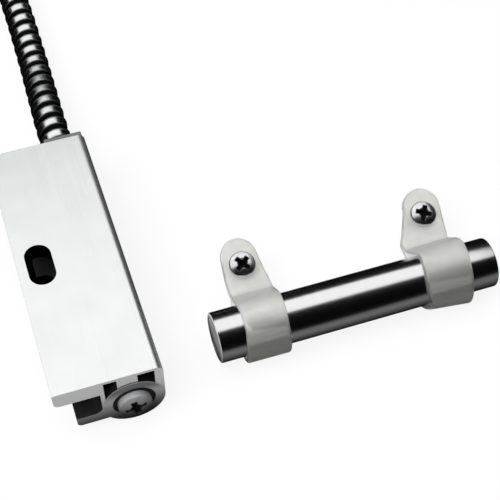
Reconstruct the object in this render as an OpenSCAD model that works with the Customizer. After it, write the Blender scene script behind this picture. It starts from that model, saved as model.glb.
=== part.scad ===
// Overhead door contact: a reed switch in an extruded aluminium housing with an armoured cable,
// and the tubular magnet that works it, held in two looped nylon clips.
// Origin: axis of the fixing slot, on the surface that both halves lie on. +Y runs along the housing
// towards its cable, +X across to the magnet and along its tube, +Z up from the surface.

/* [Switch housing] */
// Length of the extrusion
housing_len = 76; // [60:1:100]
// Overall width of the section
housing_w = 26; // [24:0.5:34]
// Height of the flat front face above the resting surface
face_h = 19; // [18:0.5:24]
// Outer radius of the switch tube in the section
tube_r = 7.6; // [7:0.1:8.2]
// Radius of the bore that holds the switch
bore_r = 5.2; // [4.8:0.1:5.6]
// Thickness of the fixing plate
plate_t = 5; // [3:0.5:6]
// Thickness of the front skin over the two cored hollows
skin_t = 0.9; // [0.6:0.1:1.5]
// Thickness of the wall on the tube's side
side_wall = 2.1; // [1.5:0.1:3]
// Thickness of the wall between the channel and the first hollow
root_wall = 1; // [0.8:0.1:1.6]
// Width of the web that ties the front skin to the tube
web_w = 4.9; // [3:0.1:6]
// How far the web stands off the tube's axis, towards the plate
web_offset = 1; // [0:0.1:1.5]
// Rounding of the long front edge on the tube's side
corner_r = 2; // [1:0.1:3]
// Rounding of the plate's lower edge
plate_edge_r = 1.5; // [0.6:0.1:1.8]
// Thickness of the rear leg
leg_t = 3.2; // [2:0.1:4]
// How far the leg's edge lies inside the plate's edge
leg_inset = 4.4; // [3:0.1:6]
// Clear height of the channel between plate and leg
channel_h = 7.6; // [6:0.1:8.5]
// Fillet at the foot of the channel
channel_fillet = 2; // [0.5:0.1:3]

/* [Fixing slot] */
// Width of the slotted hole
slot_w = 6.6; // [5:0.1:7.6]
// End-to-end length of the slotted hole
slot_len = 12.4; // [9:0.1:24]
// Distance from the plate's edge to the middle of the slot
slot_inset = 5.7; // [5.2:0.1:6.2]
// Distance from the housing's open end to the middle of the slot
slot_from_end = 37.2; // [28:0.1:48]

/* [End plug and screw] */
// Recess of the plug's face inside the bore
plug_recess = 0.1; // [0:0.1:2.4]
// Length of the plug
plug_len = 9; // [6:0.5:10]
// Radius of the end screw's pan head
end_head_r = 4.1; // [3.4:0.1:4.4]
// Height of the end screw's head
end_head_h = 2.6; // [2:0.1:3.2]
// Radius of the end screw's shank
end_shank_r = 2.1; // [1.6:0.1:2.4]
// Length of the end screw under its head
end_screw_len = 8; // [6:0.5:10]

/* [Cable cap] */
// Thickness of the cap's flange
cap_t = 1.9; // [1:0.1:3]
// Depth of the cap's spigot in the bore
spigot_len = 7; // [4:0.5:9]
// How far the flange's edge stays inside the front face
cap_drop = 1; // [0.5:0.1:2]
// Length of the collar round the cable
collar_len = 3; // [2:0.5:5]
// Wall of the collar
collar_wall = 1.4; // [1:0.1:1.8]
// How far the collar stands off the bore's axis, away from the plate
collar_offset = 0.9; // [0:0.1:1]
// Wall of the hollow spigot
spigot_wall = 0.9; // [0.6:0.1:1]
// Radius of the passage for the leads
passage_r = 2.2; // [1.9:0.1:2.6]

/* [Reed switch] */
// Outer radius of the glass capsule
glass_r = 2.1; // [1.8:0.1:2.2]
// Length of the glass capsule
glass_len = 30; // [24:1:34]
// Wall of the glass
glass_wall = 0.5; // [0.3:0.05:0.6]
// Length of the glass seal round each stem
seal_len = 3; // [2:0.5:4]
// Radius of the stems
stem_r = 0.4; // [0.3:0.05:0.6]
// Length of a stem outside the glass
stem_out = 6; // [4:0.5:7]
// Width of a contact blade
blade_w = 1.4; // [1:0.1:1.8]
// Thickness of a contact blade
blade_t = 0.25; // [0.2:0.05:0.35]
// Open gap between the two blades
contact_gap = 0.3; // [0.25:0.05:0.5]
// Overlap of the two blades' tips
blade_lap = 1.6; // [1:0.1:2.5]

/* [Cable] */
// Outer radius of the armoured cable
cable_r = 4.2; // [3.5:0.1:4.4]
// Length of the cable from the cap to the end of its armour
cable_len = 610; // [560:5:620]
// Radius of an insulated lead
lead_r = 0.75; // [0.6:0.05:0.9]
// Mean radius of the coil's two turns
coil_r = 44; // [42:1:46]
// Wall of the bushing on the armour's end
bushing_wall = 0.6; // [0.4:0.1:0.8]
// Length of the bushing past the armour's end
bushing_len = 6; // [4:0.5:9]

/* [Magnet] */
// Outer radius of the magnet's tube
magnet_r = 6.35; // [5.5:0.05:7.5]
// Wall of the magnet's tube
magnet_wall = 0.8; // [0.5:0.1:1.2]
// Length of the magnet's tube
magnet_len = 73; // [66:1:90]
// Thickness of the discs that close the tube
disc_t = 3; // [1.5:0.1:5]
// Depth of the discs' faces inside the tube's ends
disc_recess = 0.15; // [0.1:0.05:0.5]
// Clearance of the magnet bars in the tube
bar_gap = 0.2; // [0.05:0.05:0.4]
// Length of the spacer between the two bars
spacer_len = 3; // [1:0.5:8]
// Distance from the fixing slot across to the tube's near end
magnet_x = 35.8; // [30:0.1:50]
// Distance of the tube's axis from the housing's open end
magnet_y = 10.7; // [8:0.1:20]

/* [Nylon clips] */
// Width of a clip's strap
strap_w = 11.2; // [9:0.1:13]
// Thickness of the strap
strap_t = 1.15; // [0.9:0.05:1.4]
// Distance from the tube's near end to the middle of the first clip
first_clip = 11.9; // [9:0.1:16]
// Distance between the two clips
clip_pitch = 48; // [40:0.5:50]
// Distance from the tube's axis to the first clip's screw hole
first_reach = 17.2; // [16:0.1:20]
// Distance from the tube's axis to the second clip's screw hole
second_reach = 17.8; // [16:0.1:20]
// Width of the first clip's tail at its neck, beside the loop
first_neck_w = 10.9; // [9:0.1:12]
// Width of the second clip's tail at its neck
second_neck_w = 11.6; // [9:0.1:12]
// Width of the first clip's tail where it is widest
first_pad_w = 11; // [10:0.1:13]
// Width of the second clip's tail where it is widest
second_pad_w = 12.3; // [10:0.1:13]
// Length of the tails past their holes
tail_past = 7.4; // [6:0.1:9]
// Radius of the first clip's rounded tip
first_tip_r = 4.7; // [4.2:0.1:4.9]
// Radius of the second clip's rounded tip
second_tip_r = 4.9; // [4.2:0.1:4.9]
// Radius of the screw hole
hole_r = 2.3; // [2.1:0.1:2.6]
// Concave bend where the strap turns into its tail
bend_r = 2.2; // [1.5:0.1:3]
// Gap between the two leaves of a tail
leaf_gap = 0.2; // [0.1:0.05:0.4]
// Sideways shift of the first clip's tail at its neck
first_shift = 1.5; // [-1.5:0.1:1.5]
// Sideways lean of the first clip's tail from its neck to its hole
first_lean = -0.4; // [-2:0.1:2]
// Sideways shift of the second clip's tail at its neck
second_shift = 0.9; // [-1.5:0.1:1.5]
// Sideways lean of the second clip's tail from its neck to its hole
second_lean = 2; // [-2:0.1:2]

/* [Clip screws] */
// Radius of a clip screw's pan head
head_r = 3.4; // [3:0.1:3.8]
// Height of a clip screw's head
head_h = 2.2; // [1.6:0.1:2.6]
// Radius of the plain neck inside the clip
neck_r = 1.95; // [1.8:0.05:2]
// Radius of the threaded shank
shank_r = 1.75; // [1.5:0.05:1.8]
// Length of a clip screw under its head
screw_len = 9.5; // [7:0.5:13]
// Length of the screw's point
point_len = 2.5; // [1.5:0.1:3]

/* [Hidden] */
$fn = 64;

// A cutter or a joining piece reaches this far past the face that it works on
over = 1;

// Outlines that would meet along a tangent are kept this far inside each other
skin = 0.02;

// Section of the housing: x across, z up, with the plate's edge at x_left
x_left = -slot_inset;
x_right = x_left + housing_w;
tube_x = x_right - tube_r;
tube_z = tube_r;
x_root = tube_x - tube_r;
plate_z = face_h - plate_t;
leg_top = plate_z - channel_h;
leg_bottom = leg_top - leg_t;
leg_edge_r = 1.2;
y_open = -slot_from_end;
y_cable = y_open + housing_len;

// Pieces on the tube's axis, by their place along Y
plug_y = y_open + plug_recess;
potting_y0 = plug_y + plug_len;
potting_y1 = y_cable - spigot_len;
collar_r = cable_r + 0.15;
cable_exit = y_cable + cap_t;

// Reed switch, measured along the tube from the middle of its capsule; its blades spring from the seals
seal_y = glass_len / 2 - seal_len;
root_gap = 0.1;
blade_root = seal_y - root_gap;
blade_len = blade_root + blade_lap / 2;
stem_end = glass_len / 2 + stem_out;
solder_r = 1.3;
solder_len = 4.5;
solder_end = stem_end + solder_len / 2;

// The black lead leaves the far stem, turns back and comes past the glass, beside the red one
lead_sides = 8;
lead_gap = 0.4;
lead_side = lead_r + 0.15;
lead_out = glass_r + lead_r + lead_gap;
lead_turn = solder_end + lead_gap;
lead_cover = 0.8;
reed_y = potting_y0 + lead_cover + lead_r + lead_out / 2 + lead_turn;
lead_in_y = solder_end + 1;
lead_join = cable_exit - cap_t - 1 - reed_y;
lead_end = cable_exit - reed_y;
BLACK_LEAD = [
    [0, -solder_end],
    for (a = [0:36:180]) [-lead_out / 2 * (1 - cos(a)), -lead_turn - lead_out / 2 * sin(a)],
    [-lead_out, -lead_turn / 2], [-lead_out, lead_turn / 2], [-lead_out, lead_in_y],
    for (s = [0.25:0.25:1]) [
        -lead_out + (lead_out - lead_side) * s * s * (3 - 2 * s), lead_in_y + (lead_join - lead_in_y) * s
    ],
    [-lead_side, lead_end]
];
RED_LEAD = [
    [0, solder_end], [0, lead_in_y],
    for (s = [0.25:0.25:1]) [lead_side * s * s * (3 - 2 * s), lead_in_y + (lead_join - lead_in_y) * s],
    [lead_side, lead_end]
];

// The cable's free stretch, from the cap to the coil
CABLE = [
    [0, 0, 7.6], [0, 6, 7.6], [0.1, 12, 7.4], [0.2, 18, 7], [0.4, 24, 6.4], [0.6, 30, 5.7], [0.8, 36, 5],
    [1, 42, 4.5], [1.1, 48, 4.3], [1.2, 54, 4.2], [1.3, 62, 4.2], [1.3, 72, 4.2], [1.3, 84, 4.2],
    [1.3, 96, 4.2], [1.3, 108, 4.2]
];
cable_sides = 12;
cable_start = [tube_x + collar_offset, cable_exit, 0];
lay_x = 1.3;
coil_y = 128;
free_len = 128.2;

// The coil lies flat: an outer turn, then a step in to an inner one that ends where the cable runs out
outer_turn = coil_r + cable_r;
inner_turn = coil_r - cable_r;
coil_centre = cable_start + [lay_x + outer_turn, coil_y, 0];
step_in = 280;
step_mid = 320;
function arc_len(r, angle) = PI * r * angle / 180;
inner_len = cable_len - free_len - arc_len(outer_turn, step_in) - arc_len(coil_r, 360 - step_in);
end_turn = 360 + inner_len / arc_len(inner_turn, 1);
mouth_r = norm([inner_turn, bushing_len]);
mouth_turn = end_turn + atan(bushing_len / inner_turn);
tail_side = 1.2;
tail_in = 7;
tail_fall = 35;
tail_turn = 110;

// Magnet: the clips' straps touch the surface, so the axis stands one strap above it
strap_r = magnet_r + strap_t;
magnet_at = [magnet_x, y_open + magnet_y, strap_r];
disc_r = magnet_r - magnet_wall;
bar_room = magnet_len - 2 * (disc_t + disc_recess);
bar_len = (bar_room - spacer_len) / 2;
tube_chamfer = 0.3;

// A clip's two leaves lie together and are pinned by its screw
leaf_stack = 2 * strap_t + leaf_gap;
tail_h = -strap_r + leaf_stack;
bend_h = tail_h + bend_r;
bend_s = sqrt(pow(strap_r + bend_r, 2) - pow(bend_h, 2));
bend_angle = atan2(bend_h, bend_s);
bend_lap = 2;

// Stations along a clip's tail, from the tube's axis: neck and widest place
neck_at = strap_r + 2;
pad_at = strap_r + 5;

// A clip: its place along the tube, its hole's distance, its tail's shift and lean, and its three sizes
FIRST = [first_clip, first_reach, first_shift, first_lean, first_neck_w, first_pad_w, first_tip_r];
SECOND = [
    first_clip + clip_pitch, second_reach, second_shift, second_lean, second_neck_w, second_pad_w,
    second_tip_r
];

// The strap and the screw's point both rest on the surface, which tilts the tail up
function clip_tilt(reach) =
    let (depth = strap_r + screw_len - leaf_stack)
    atan(depth / reach) - asin(strap_r / norm([reach, depth]));

// Sideways place of a tail's middle at distance s from the tube's axis
function tail_middle(c, s) = c[2] + c[3] * (s - neck_at) / (c[1] - neck_at);

// Places its children on the tube's axis, with their +Z along +Y, starting at y
module along_tube(y) {
    translate([tube_x, y, tube_z]) rotate([-90, 0, 0]) children();
}

// Places its children on the magnet's axis, with their +Z along +X, starting at x from the near end
module along_magnet(x) {
    translate(magnet_at) translate([x, 0, 0]) rotate([0, 90, 0]) children();
}

// Direction of a path at point i, between its neighbours
function heading(path, i) =
    let (d = path[min(i + 1, len(path) - 1)] - path[max(i - 1, 0)]) d / norm(d);

// One ring of points round a path point; the path never runs upright
function ring(centre, along, r, sides) =
    let (across = cross(along, [0, 0, 1]), a = across / norm(across), b = cross(a, along))
    [for (k = [0 : sides - 1]) centre + r * (cos(360 * k / sides) * a + sin(360 * k / sides) * b)];

// A closed tube swept along a path: its rings, their quads and two end faces
module swept_tube(path, r, sides) {
    n = len(path);
    points = [for (i = [0 : n - 1]) each ring(path[i], heading(path, i), r, sides)];
    walls = [
        for (i = [0 : n - 2]) for (k = [0 : sides - 1])
            let (next = (k + 1) % sides)
            [i * sides + k, i * sides + next, (i + 1) * sides + next, (i + 1) * sides + k]
    ];
    first = [for (k = [sides - 1 : -1 : 0]) k];
    last = [for (k = [0 : sides - 1]) (n - 1) * sides + k];
    polyhedron(points = points, faces = concat([first], walls, [last]));
}

// A square with one rounded corner at its origin, to be taken away from a sharp corner
module corner_waste(r) {
    difference() {
        translate([-over, -over]) square(r + over);
        translate([r, r]) circle(r = r);
    }
}

// A fillet that fills an inner corner at its origin
module corner_fill(r) {
    difference() {
        translate([-over / 10, -over / 10]) square(r + over / 10);
        translate([r, r]) circle(r = r);
    }
}

// Cored hollow between the front skin, the tube and two walls, before the tube is taken from it
module hollow(x0, x1) {
    difference() {
        translate([x0, tube_z]) square([x1 - x0, face_h - skin_t - tube_z]);
        translate([tube_x, tube_z]) circle(r = tube_r);
    }
}

module housing_section() {
    web_x = tube_x - web_offset;
    difference() {
        union() {
            translate([x_left, plate_z]) square([x_root - x_left + over, plate_t]);
            translate([x_root, tube_z]) square([2 * tube_r, face_h - tube_z]);
            translate([tube_x, tube_z]) circle(r = tube_r);
            translate([x_left + leg_inset, leg_bottom]) square([tube_x - x_left - leg_inset, leg_t]);
            translate([x_root, leg_top]) mirror([1, 0]) corner_fill(channel_fillet);
        }
        translate([tube_x, tube_z]) circle(r = bore_r);
        hollow(x_root + root_wall, web_x - web_w / 2);
        hollow(web_x + web_w / 2, x_right - side_wall);
        translate([x_right, face_h]) rotate(180) corner_waste(corner_r);
        translate([x_left, plate_z]) corner_waste(plate_edge_r);
        translate([x_left + leg_inset, leg_bottom]) corner_waste(leg_edge_r);
    }
}

// Slotted hole, through the plate and on through the leg's edge
module fixing_slot() {
    straight = slot_len - slot_w;
    translate([-slot_w / 2, -straight / 2, -over]) cube([slot_w, straight, face_h + 2 * over]);
    for (side = [-1, 1])
        translate([0, side * straight / 2, -over]) cylinder(d = slot_w, h = face_h + 2 * over);
}

module housing() {
    color("gainsboro") difference() {
        translate([0, y_cable, 0]) rotate([90, 0, 0]) linear_extrude(housing_len) housing_section();
        fixing_slot();
    }
}

// Pan head with a cross recess: flat face down at z = 0, domed top at z = h
module pan_head(r, h) {
    dome = r * 1.6;
    arm = r * 0.28;
    difference() {
        intersection() {
            cylinder(r = r, h = h);
            translate([0, 0, h - dome]) sphere(r = dome);
        }
        for (turn = [0, 90])
            rotate(turn) translate([-r * 0.55, -arm / 2, h * 0.4]) cube([r * 1.1, arm, h]);
        translate([0, 0, h * 0.3]) cylinder(r1 = arm * 0.4, r2 = arm * 1.1, h = h);
    }
}

module end_plug() {
    pilot_r = end_shank_r - 0.3;
    color("dimgray") along_tube(plug_y) difference() {
        cylinder(r = bore_r, h = plug_len);
        translate([0, 0, -over]) cylinder(r = pilot_r, h = end_screw_len + over);
    }
}

module end_screw() {
    point = 2;
    color("silver") along_tube(plug_y) {
        mirror([0, 0, 1]) pan_head(end_head_r, end_head_h);
        cylinder(r = end_shank_r, h = end_screw_len - point);
        translate([0, 0, end_screw_len - point]) cylinder(r1 = end_shank_r, r2 = 0.6, h = point);
    }
}

// Flange on the housing's cable end: a round foot on the tube and a square head up behind the web
module cap_outline() {
    foot_r = tube_r - 0.3;
    head_x = tube_x - 3;
    circle(r = foot_r);
    translate([head_x - tube_x, 0]) square([x_right - 0.5 - head_x, face_h - cap_drop - tube_z]);
}

module cable_cap() {
    color("dimgray") difference() {
        union() {
            translate([tube_x, cable_exit, tube_z]) rotate([90, 0, 0]) linear_extrude(cap_t) cap_outline();
            along_tube(cable_exit - cap_t - spigot_len) cylinder(r = bore_r, h = spigot_len + over / 2);
            translate([collar_offset, 0, 0]) along_tube(cable_exit - over / 2)
                cylinder(r = collar_r + collar_wall, h = collar_len + over / 2);
        }
        translate([collar_offset, 0, 0]) along_tube(cable_exit)
            cylinder(r = collar_r, h = collar_len + over);
        along_tube(cable_exit - cap_t - over) cylinder(r = passage_r, h = cap_t + 2 * over);
        along_tube(cable_exit - cap_t - spigot_len - over)
            cylinder(r = bore_r - spigot_wall, h = spigot_len + over);
    }
}

// Half section of the capsule, revolved: a straight tube drawn in at each end onto its stem
module capsule_solid(r, length, draw) {
    rotate_extrude() polygon([
        [0, -length / 2], [r * 0.45, -length / 2], [r * 0.82, -length / 2 + draw * 0.4],
        [r, -length / 2 + draw], [r, length / 2 - draw], [r * 0.82, length / 2 - draw * 0.4],
        [r * 0.45, length / 2], [0, length / 2]
    ]);
}

module capsule_outside() {
    along_tube(reed_y) capsule_solid(glass_r, glass_len, 1.7);
}

// A stem through the glass at one end: side is -1 towards the open end and 1 towards the cable
module stem(side, inside = 0) {
    stem_len = stem_end - seal_y + inside;
    along_tube(reed_y + (side > 0 ? seal_y - inside : -stem_end)) cylinder(r = stem_r, h = stem_len);
}

module glass_capsule() {
    color("palegreen", 0.5) difference() {
        capsule_outside();
        along_tube(reed_y) capsule_solid(glass_r - glass_wall, 2 * seal_y, 1.2);
        stem(-1, over);
        stem(1, over);
    }
}

module lower_stem() {
    color("silver") stem(-1);
}

module upper_stem() {
    color("silver") stem(1);
}

// A contact blade: it springs from its seal and laps the other one across the contact gap
module blade(side) {
    x0 = side > 0 ? contact_gap / 2 : -contact_gap / 2 - blade_t;
    y0 = reed_y + (side > 0 ? blade_root - blade_len : -blade_root);
    translate([tube_x + x0, y0, tube_z - blade_w / 2]) cube([blade_t, blade_len, blade_w]);
}

module lower_blade() {
    color("goldenrod") blade(-1);
}

module upper_blade() {
    color("goldenrod") blade(1);
}

// Solder round the end of a stem and the bared end of its lead
module solder(side) {
    along_tube(reed_y + (side > 0 ? stem_end : -stem_end) - solder_len / 2)
        cylinder(r = solder_r, h = solder_len);
}

module lower_solder() {
    color("lightgray") difference() {
        solder(-1);
        stem(-1);
    }
}

module upper_solder() {
    color("lightgray") difference() {
        solder(1);
        stem(1);
    }
}

// A lead inside the housing, at the height of the tube's axis
module inner_lead(points) {
    swept_tube([for (p = points) [tube_x + p[0], reed_y + p[1], tube_z]], lead_r, lead_sides);
}

module black_lead() {
    color("black") inner_lead(BLACK_LEAD);
}

module red_lead() {
    color("firebrick") inner_lead(RED_LEAD);
}

module potting() {
    color("darkslategray") difference() {
        along_tube(potting_y0) cylinder(r = bore_r, h = potting_y1 - potting_y0);
        capsule_outside();
        stem(-1);
        stem(1);
        solder(-1);
        solder(1);
        inner_lead(BLACK_LEAD);
        inner_lead(RED_LEAD);
    }
}

module armoured_cable() {
    color("dimgray") swept_tube([for (p = CABLE) p + cable_start], cable_r, cable_sides);
}

// A point on the coil: its radius, the angle travelled since the cable reached it, and its height
function on_coil(r, turn, z) = coil_centre + [r * cos(180 - turn), r * sin(180 - turn), z];

// Two flat turns, with the part of the inner one that the cable doesn't reach cut away
module cable_coil() {
    open_turn = step_mid + 360 - end_turn;
    color("dimgray") translate(coil_centre) difference() {
        rotate_extrude($fn = 96) translate([inner_turn - cable_r, 0]) square([4 * cable_r, 2 * cable_r]);
        rotate([0, 0, 180 - step_mid]) rotate_extrude(angle = open_turn, $fn = 96)
            translate([inner_turn - cable_r - over, -over])
                square([2 * cable_r + over, 2 * (cable_r + over)]);
    }
}

// Places its children at the armour's end, with their +Z on along the cable
module at_cable_end() {
    translate(on_coil(inner_turn, end_turn, cable_r)) rotate([0, 0, 180 - end_turn])
        rotate([90, 0, 0]) children();
}

module armour_bushing() {
    color("crimson") at_cable_end() difference() {
        cylinder(r = cable_r - bushing_wall, h = bushing_len);
        for (side = [-1, 1])
            translate([side * tail_side, 0, -over]) cylinder(r = lead_r, h = bushing_len + 2 * over);
    }
}

// Eases from 0 to 1
function ease(s) = let (c = min(max(s, 0), 1)) c * c * (3 - 2 * c);

// A free lead: out of the bushing, down to the surface and round inside the coil
function tail(side) = [
    on_coil(inner_turn + side * tail_side, end_turn, cable_r),
    for (a = [0 : tail_turn / 11 : tail_turn + 1])
        on_coil(mouth_r + side * tail_side - tail_in * ease(a / tail_fall), mouth_turn + a,
            cable_r - (cable_r - lead_r) * ease(a / tail_fall))
];

module black_tail() {
    color("black") swept_tube(tail(-1), lead_r, lead_sides);
}

module red_tail() {
    color("firebrick") swept_tube(tail(1), lead_r, lead_sides);
}

module magnet_tube() {
    color("lightsteelblue") along_magnet(0) rotate_extrude() polygon([
        [disc_r, 0], [magnet_r - tube_chamfer, 0], [magnet_r, tube_chamfer],
        [magnet_r, magnet_len - tube_chamfer], [magnet_r - tube_chamfer, magnet_len], [disc_r, magnet_len]
    ]);
}

module near_disc() {
    color("lightgray") along_magnet(disc_recess) cylinder(r = disc_r, h = disc_t);
}

module far_disc() {
    color("lightgray") along_magnet(magnet_len - disc_recess - disc_t) cylinder(r = disc_r, h = disc_t);
}

module magnet_bar(x) {
    color("slategray") along_magnet(x) cylinder(r = disc_r - bar_gap, h = bar_len);
}

module near_magnet() {
    magnet_bar(disc_recess + disc_t);
}

module far_magnet() {
    magnet_bar(disc_recess + disc_t + bar_len + spacer_len);
}

module magnet_spacer() {
    color("ivory") along_magnet(disc_recess + disc_t + bar_len)
        cylinder(r = disc_r - bar_gap, h = spacer_len);
}

// A circle's sector, from angle a0 to a1 and wide enough for radius r
module sector(a0, a1, r) {
    steps = 8;
    polygon(concat([[0, 0]], [for (i = [0 : steps]) 2 * r * [
        cos(a0 + (a1 - a0) * i / steps), sin(a0 + (a1 - a0) * i / steps)
    ]]));
}

module bent_strip(r_in, r_out, a0, a1) {
    intersection() {
        difference() {
            circle(r = r_out);
            circle(r = r_in);
        }
        sector(a0, a1, r_out);
    }
}

// Side view of a clip, round the tube's axis: base leaf, loop, reverse bend and top leaf, in one strip.
// The reverse bend is a hair thinner and laps into both of its neighbours.
module clip_profile(tail_end) {
    translate([0, -strap_r]) square([tail_end, strap_t]);
    bent_strip(magnet_r, strap_r, bend_angle, 270);
    translate([bend_s, bend_h])
        bent_strip(bend_r + skin, bend_r + strap_t - skin, 180 + bend_angle - bend_lap, 270 + bend_lap);
    translate([bend_s, tail_h - strap_t]) square([tail_end - bend_s, strap_t]);
}

// Where a line from p touches a circle on the given side
function touch(p, centre, r, side) =
    let (d = centre - p, reach = sqrt(d * d - r * r), a = atan2(d[1], d[0]) + side * asin(r / norm(d)))
    p + reach * [cos(a), sin(a)];

// Clip seen from above: full width up to the loop's top, then a neck, a wider pad and the round tip
module clip_outline(c) {
    tip_r = c[6];
    tip_at = c[1] + tail_past - tip_r;
    tip = [tail_middle(c, tip_at), tip_at];
    neck = tail_middle(c, neck_at);
    pad_left = [tail_middle(c, pad_at) - c[5] / 2, pad_at];
    pad_right = [tail_middle(c, pad_at) + c[5] / 2, pad_at];
    translate(tip) circle(r = tip_r);
    polygon([
        [-strap_w / 2, -strap_r - over], [strap_w / 2, -strap_r - over], [strap_w / 2, 0],
        [neck + c[4] / 2, neck_at], pad_right, touch(pad_right, tip, tip_r - skin, -1), tip,
        touch(pad_left, tip, tip_r - skin, 1), pad_left, [neck - c[4] / 2, neck_at], [-strap_w / 2, 0]
    ]);
}

// Places its children at a clip, in the clip's own tilted frame on the tube's axis
module at_clip(c) {
    translate(magnet_at) translate([c[0], 0, 0]) rotate([clip_tilt(c[1]), 0, 0]) children();
}

module clip(c) {
    color("whitesmoke") at_clip(c) difference() {
        intersection() {
            translate([-strap_w, 0, 0]) rotate([90, 0, 90]) linear_extrude(2 * strap_w)
                clip_profile(c[1] + tail_past);
            translate([0, 0, -strap_r - over]) linear_extrude(2 * (strap_r + over)) clip_outline(c);
        }
        translate([tail_middle(c, c[1]), c[1], -strap_r - over]) cylinder(r = hole_r, h = strap_r);
    }
}

module near_clip() {
    clip(FIRST);
}

module far_clip() {
    clip(SECOND);
}

module clip_screw(c) {
    shank_len = screw_len - leaf_stack - point_len;
    color("silver") at_clip(c) translate([tail_middle(c, c[1]), c[1], tail_h]) {
        pan_head(head_r, head_h);
        translate([0, 0, -leaf_stack]) cylinder(r = neck_r, h = leaf_stack);
        translate([0, 0, -leaf_stack - shank_len]) cylinder(r = shank_r, h = shank_len);
        translate([0, 0, -screw_len]) cylinder(r1 = 0, r2 = shank_r, h = point_len);
    }
}

module near_clip_screw() {
    clip_screw(FIRST);
}

module far_clip_screw() {
    clip_screw(SECOND);
}

housing();
end_plug();
end_screw();
cable_cap();
glass_capsule();
lower_stem();
upper_stem();
lower_blade();
upper_blade();
lower_solder();
upper_solder();
black_lead();
red_lead();
potting();
armoured_cable();
cable_coil();
armour_bushing();
black_tail();
red_tail();
magnet_tube();
near_disc();
far_disc();
near_magnet();
far_magnet();
magnet_spacer();
near_clip();
far_clip();
near_clip_screw();
far_clip_screw();
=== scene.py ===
import math
import bmesh
import bpy
import numpy as np
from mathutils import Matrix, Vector


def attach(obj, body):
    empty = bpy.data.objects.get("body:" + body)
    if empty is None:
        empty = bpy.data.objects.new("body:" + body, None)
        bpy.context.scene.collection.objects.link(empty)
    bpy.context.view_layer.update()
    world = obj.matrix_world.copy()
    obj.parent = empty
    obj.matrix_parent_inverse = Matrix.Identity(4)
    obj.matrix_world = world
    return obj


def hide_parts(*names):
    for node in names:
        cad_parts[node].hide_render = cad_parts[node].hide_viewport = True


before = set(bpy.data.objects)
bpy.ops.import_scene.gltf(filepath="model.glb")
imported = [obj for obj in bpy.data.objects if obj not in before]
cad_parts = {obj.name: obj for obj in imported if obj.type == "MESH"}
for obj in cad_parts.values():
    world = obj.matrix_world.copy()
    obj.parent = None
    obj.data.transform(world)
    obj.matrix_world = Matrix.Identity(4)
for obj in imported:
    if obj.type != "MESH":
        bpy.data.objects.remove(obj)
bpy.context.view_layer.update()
mm = 0.001                      # every size below is in millimetres, as in the drawing, until it goes into a mesh
sharpAngle = math.radians(40)   # an edge sharper than this stays sharp in the shading
print("frame loaded")

# The camera stands where a fit to the photograph puts it, looking down across both halves
viewpoint = {
    "place": (-6.865, -180.93, 252.119),
    "aim": (54.34, 1.82, 0),
    "lens": 86.24,              # for a sensor 36 mm wide
    "sensor": 36,
}
cameraData = bpy.data.cameras.new("camera")
cameraData.lens = viewpoint["lens"]
cameraData.sensor_width = viewpoint["sensor"]
cameraData.sensor_fit = "HORIZONTAL"
cameraData.clip_start = 0.01
camera = bpy.data.objects.new("camera", cameraData)
bpy.context.scene.collection.objects.link(camera)
bpy.context.scene.camera = camera
camera.location = Vector(viewpoint["place"]) * mm
lookAlong = (Vector(viewpoint["aim"]) - Vector(viewpoint["place"])).normalized()
camera.rotation_euler = lookAlong.to_track_quat("-Z", "Y").to_euler()
print("camera placed")


def addPiece(name, points, faces, body, material):
    # Puts a surface, in millimetres, into a mesh at the origin, smooth but for its sharp edges
    mesh = bpy.data.meshes.new(name)
    mesh.from_pydata((points * mm).tolist(), [], faces)
    mesh.materials.append(material)
    mesh.polygons.foreach_set("use_smooth", np.ones(len(mesh.polygons), bool))
    mesh.set_sharp_from_angle(angle=sharpAngle)
    piece = bpy.data.objects.new(name, mesh)
    bpy.context.scene.collection.objects.link(piece)
    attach(piece, body)
    return piece


def shell(name, grid, body, material, ring=False):
    # A closed skin over rings of points: grid[i, j] is point j of ring i. Its two ends are closed by one face each,
    # or joined to each other where the shape is itself a ring. The volume, the sum of v0.(v1 x v2)/6 over the
    # triangles, tells whether the faces have to be turned outwards
    rows, columns = grid.shape[:2]
    points = grid.reshape(-1, 3)
    r, c = np.meshgrid(np.arange(rows if ring else rows - 1), np.arange(columns), indexing="ij")
    r, c = r.ravel(), c.ravel()
    up, on = (r + 1) % rows * columns, (c + 1) % columns
    quads = np.stack([r * columns + c, r * columns + on, up + on, up + c], 1)
    corners = points[quads] - points.mean(0)
    v0, v1, v2, v3 = (corners[:, k] for k in range(4))
    inside = (v0 * np.cross(v1, v2)).sum() + (v0 * np.cross(v2, v3)).sum() < 0
    faces = quads.tolist()
    if not ring:
        faces += [list(range(columns - 1, -1, -1)), list(range((rows - 1) * columns, rows * columns))]
    if inside:
        faces = [face[::-1] for face in faces]
    return addPiece(name, points, faces, body, material)


def smoothLine(points, step, perSpan=40):
    # A Hermite curve through the points: each tangent is half the chord between its neighbours. The curve is
    # sampled finely, then read off again at equal steps of its own length
    points = np.array(points, float)
    tangents = np.gradient(points, axis=0)
    u = np.linspace(0, len(points) - 1, perSpan * len(points))
    i = np.minimum(u.astype(int), len(points) - 2)
    t = (u - i)[:, None]
    fine = ((2 * t**3 - 3 * t**2 + 1) * points[i] + (t**3 - 2 * t**2 + t) * tangents[i]
            + (3 * t**2 - 2 * t**3) * points[i + 1] + (t**3 - t**2) * tangents[i + 1])
    along = np.concatenate([[0], np.cumsum(np.linalg.norm(np.diff(fine, axis=0), axis=1))])
    even = np.linspace(0, along[-1], max(2, round(along[-1] / step) + 1))
    return np.stack([np.interp(even, along, fine[:, k]) for k in range(3)], 1), even


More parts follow.
